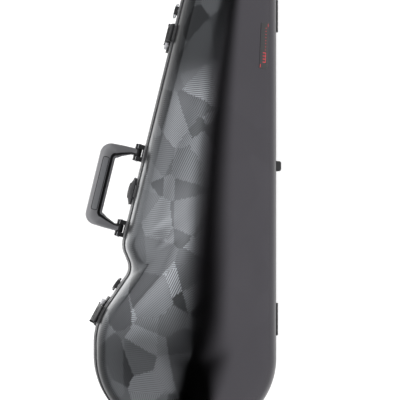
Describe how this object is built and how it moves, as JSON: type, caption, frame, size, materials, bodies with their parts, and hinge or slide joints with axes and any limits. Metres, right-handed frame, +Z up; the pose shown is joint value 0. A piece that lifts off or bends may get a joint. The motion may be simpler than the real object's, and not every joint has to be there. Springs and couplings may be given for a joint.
{
  "type": "violin case",
  "caption": "Hard-shell contoured violin case with hinged domed lid, side carrying handle, flip latches, centre lock, strap rings and padded violin-shaped bed.",
  "frame": {"origin": "on the flat of the case's back, on which it lies; X = 0 runs through the middle of the body end's crown, Y = 0 is half way along the length", "axes": "+Z up from the back through the lid, +Y along the case towards the neck end, -X towards the carrying handle and +X towards the hinges"},
  "size_m": [0.2832, 0.7844, 0.1498],
  "materials": {
    "shell": "semi-gloss black moulded shell with a fine relief pattern of striped facets",
    "rim_grey": "satin dark grey rim",
    "rim_black": "satin black rim",
    "seal_rubber": "matt black seal",
    "lining": "charcoal velvet over foam",
    "webbing": "black woven tape",
    "steel": "satin nickel-plated steel",
    "satin_metal": "satin silver",
    "black_plastic": "satin black moulding",
    "grey_plastic": "satin dark grey moulding",
    "grip_rubber": "fine-textured grey grip panel",
    "hinge_black": "black coated steel",
    "foot_rubber": "matt black rubber",
    "badge": "matt black strip with thin red rules"
  },
  "bodies": {
    "base": {"bottom_shell": "shell", "bottom_rim": "rim_grey", "rim_gasket": "seal_rubber", "suspension_foam": "lining", "neck_rest": "lining", "neck_strap": "webbing", "accessory_box": "lining", "flap_hinge_rod": "steel", "handle_bracket_neck": "black_plastic", "handle_bracket_bout": "black_plastic", "handle_pin_neck": "steel", "handle_pin_bout": "steel", "latch_base_neck": "black_plastic", "latch_base_bout": "black_plastic", "latch_pin_neck": "steel", "latch_pin_bout": "steel", "lock_plate": "grey_plastic", "strap_anchor_neck": "black_plastic", "strap_anchor_bout": "black_plastic", "hinge_base_leaf_neck": "hinge_black", "hinge_base_leaf_bout": "hinge_black", "hinge_pin_neck": "steel", "hinge_pin_bout": "steel", "spine_foot": "foot_rubber"},
    "lid": {"lid_shell": "shell", "lid_rim": "rim_black", "lid_liner": "lining", "hinge_lid_leaf_neck": "hinge_black", "hinge_lid_leaf_bout": "hinge_black", "latch_keeper_neck": "hinge_black", "latch_keeper_bout": "hinge_black", "lock_keeper": "hinge_black", "badge_plate": "badge", "bow_pocket_1": "lining", "bow_pocket_2": "lining", "bow_clip_base_1": "black_plastic", "bow_clip_base_2": "black_plastic"},
    "handle": {"handle_frame": "grey_plastic", "grip_pad_upper": "grip_rubber", "grip_pad_lower": "grip_rubber"},
    "neck_hasp": {"hasp_neck": "black_plastic"},
    "bout_hasp": {"hasp_bout": "black_plastic"},
    "neck_release": {"release_slide_neck": "satin_metal"},
    "bout_release": {"release_slide_bout": "satin_metal"},
    "knob": {"lock_knob": "black_plastic"},
    "neck_ring": {"strap_ring_neck": "steel"},
    "bout_ring": {"strap_ring_bout": "hinge_black"},
    "bow_clip_left": {"bow_clip_1": "black_plastic"},
    "bow_clip_right": {"bow_clip_2": "black_plastic"},
    "flap": {"accessory_flap": "lining", "flap_ribbon": "webbing"}
  },
  "joints": [
    {"name": "lid_hinge", "type": "hinge", "parent": "base", "child": "lid", "pos_m": [0.1362, 0, 0.08005], "axis": [0, 1, 0], "range_deg": [0, 100]},
    {"name": "handle_pivot", "type": "hinge", "parent": "base", "child": "handle", "pos_m": [-0.07538, -0.04605, 0.06], "axis": [0.2385, 0.9711, 0], "range_deg": [-80, 85]},
    {"name": "neck_hasp_pivot", "type": "hinge", "parent": "base", "child": "neck_hasp", "pos_m": [-0.01876, 0.17353, 0.047], "axis": [-0.2385, -0.9711, 0], "range_deg": [0, 110]},
    {"name": "bout_hasp_pivot", "type": "hinge", "parent": "base", "child": "bout_hasp", "pos_m": [-0.11921, -0.21647, 0.047], "axis": [-0.474, -0.8805, 0], "range_deg": [0, 110]},
    {"name": "neck_release_slide", "type": "slide", "parent": "base", "child": "neck_release", "axis": [-0.2385, -0.9711, 0], "range_m": [0, 0.004], "stiffness_N_per_m": 300, "springref_m": -0.003},
    {"name": "bout_release_slide", "type": "slide", "parent": "base", "child": "bout_release", "axis": [0.474, 0.8805, 0], "range_m": [0, 0.004], "stiffness_N_per_m": 300, "springref_m": -0.003},
    {"name": "knob_turn", "type": "hinge", "parent": "base", "child": "knob", "pos_m": [-0.0744, -0.04629, 0.064], "axis": [-0.9711, 0.2385, 0], "range_deg": [0, 90]},
    {"name": "neck_ring_swing", "type": "hinge", "parent": "base", "child": "neck_ring", "pos_m": [-0.00675, 0.21193, 0.06], "axis": [0.2385, 0.9711, 0], "range_deg": [0, 150]},
    {"name": "bout_ring_swing", "type": "hinge", "parent": "base", "child": "bout_ring", "pos_m": [-0.0922, -0.18038, 0.06], "axis": [0.5684, 0.8228, 0], "range_deg": [0, 150]},
    {"name": "bow_clip_left_turn", "type": "hinge", "parent": "lid", "child": "bow_clip_left", "pos_m": [0.04048, 0.15345, 0.1262], "axis": [0, 0, 1], "range_deg": [-90, 90]},
    {"name": "bow_clip_right_turn", "type": "hinge", "parent": "lid", "child": "bow_clip_right", "pos_m": [0.07383, 0.14936, 0.1215], "axis": [0, 0, 1], "range_deg": [-90, 90]},
    {"name": "flap_hinge", "type": "hinge", "parent": "base", "child": "flap", "pos_m": [0.1018, 0.318, 0.0707], "axis": [0, 1, 0], "range_deg": [0, 80]}
  ]
}
